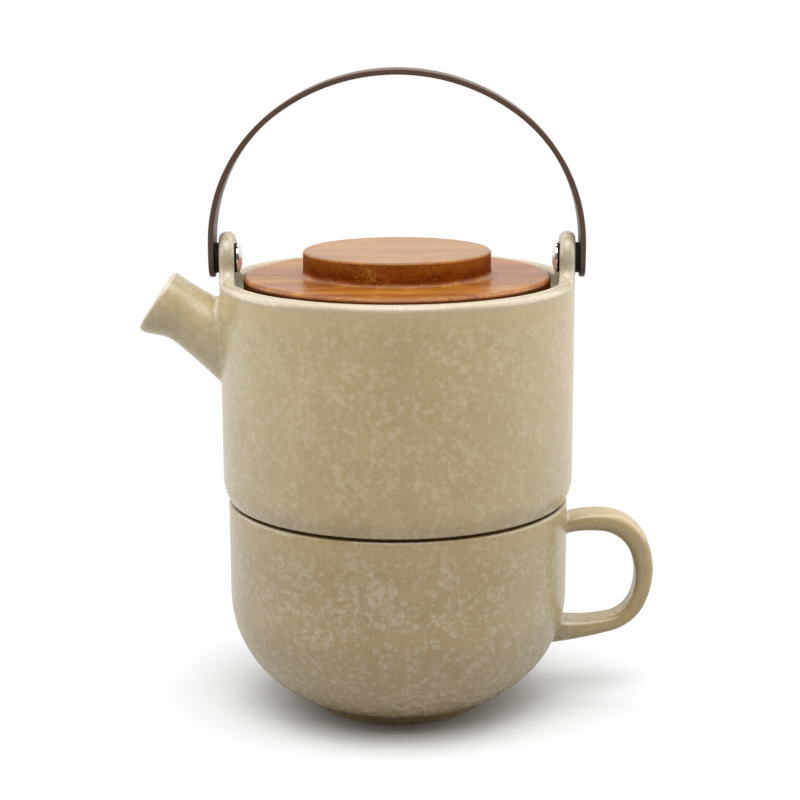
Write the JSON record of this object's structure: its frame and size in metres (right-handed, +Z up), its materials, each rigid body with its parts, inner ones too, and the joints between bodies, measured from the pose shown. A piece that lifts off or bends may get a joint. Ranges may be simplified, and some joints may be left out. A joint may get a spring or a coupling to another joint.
{
  "type": "teapot with nesting cup",
  "caption": "Stoneware tea set for one: a short-spouted teapot with a wooden lid and a swinging strip handle, standing on a wide cup with a loop handle.",
  "frame": {"origin": "middle of the cup's foot ring, on the table", "axes": "+Z up, -X along the spout, +X towards the cup's loop handle, Y across the set"},
  "size_m": [0.1617, 0.1102, 0.2009],
  "materials": {
    "stoneware": "satin sand glaze with soft grey-cream clouds and fine specks",
    "lid_wood": "oiled orange-brown hardwood, grain along the spout",
    "seal_silicone": "matte translucent silicone",
    "handle_strip": "satin dark-brown coating on steel strip",
    "washer_rubber": "matte black",
    "pivot_chrome": "polished"
  },
  "bodies": {
    "set": {"teapot_body": "stoneware", "tea_cup": "stoneware", "lid": "lid_wood", "lid_seal": "seal_silicone", "outer_washer_left": "washer_rubber", "outer_washer_right": "washer_rubber", "inner_washer_left": "washer_rubber", "inner_washer_right": "washer_rubber"},
    "handle": {"bail_handle": "handle_strip", "cap_nut_left": "pivot_chrome", "cap_nut_right": "pivot_chrome", "pivot_stud_left": "pivot_chrome", "pivot_stud_right": "pivot_chrome"}
  },
  "joints": [
    {"name": "bail_swing", "type": "hinge", "parent": "set", "child": "handle", "pos_m": [0, 0, 0.1429], "axis": [1, 0, 0], "range_deg": [-96, 96]}
  ]
}
